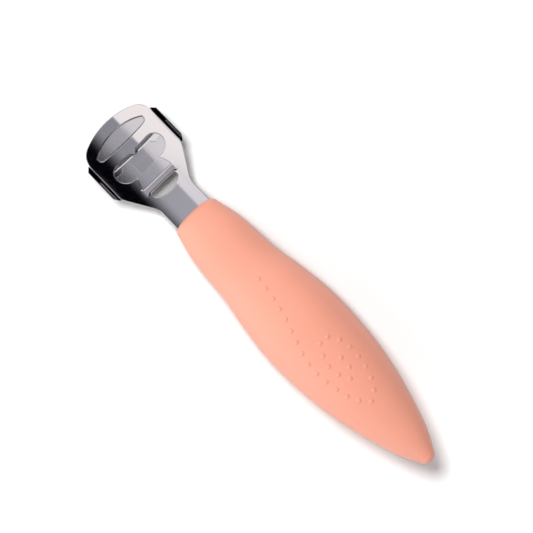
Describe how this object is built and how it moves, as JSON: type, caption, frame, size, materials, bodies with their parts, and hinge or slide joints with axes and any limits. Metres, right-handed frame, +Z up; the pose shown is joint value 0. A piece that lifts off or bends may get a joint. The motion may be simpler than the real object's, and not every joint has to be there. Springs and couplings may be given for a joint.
{
  "type": "callus shaver",
  "caption": "Hand tool for shaving hard skin: a trough-shaped steel head with a slot and an arched blade, on a spindle-shaped soft-touch grip.",
  "frame": {"origin": "centre of the bounding box in X and Y, at the level that the tool lies on", "axes": "+Y along the tool towards the head, +Z up with the hollow side of the head upwards, +X across to the right"},
  "size_m": [0.0342, 0.1692, 0.0271],
  "materials": {
    "soft_touch": "matt soft-touch skin over a moulded body",
    "polished_steel": "mirror polished stainless steel",
    "satin_steel": "satin stainless steel",
    "blade_steel": "bright rolled steel with a ground edge"
  },
  "bodies": {
    "root": {"grip": "soft_touch", "head_plate": "polished_steel", "guard_plate": "satin_steel", "spring": "satin_steel", "blade": "blade_steel"}
  },
  "joints": []
}
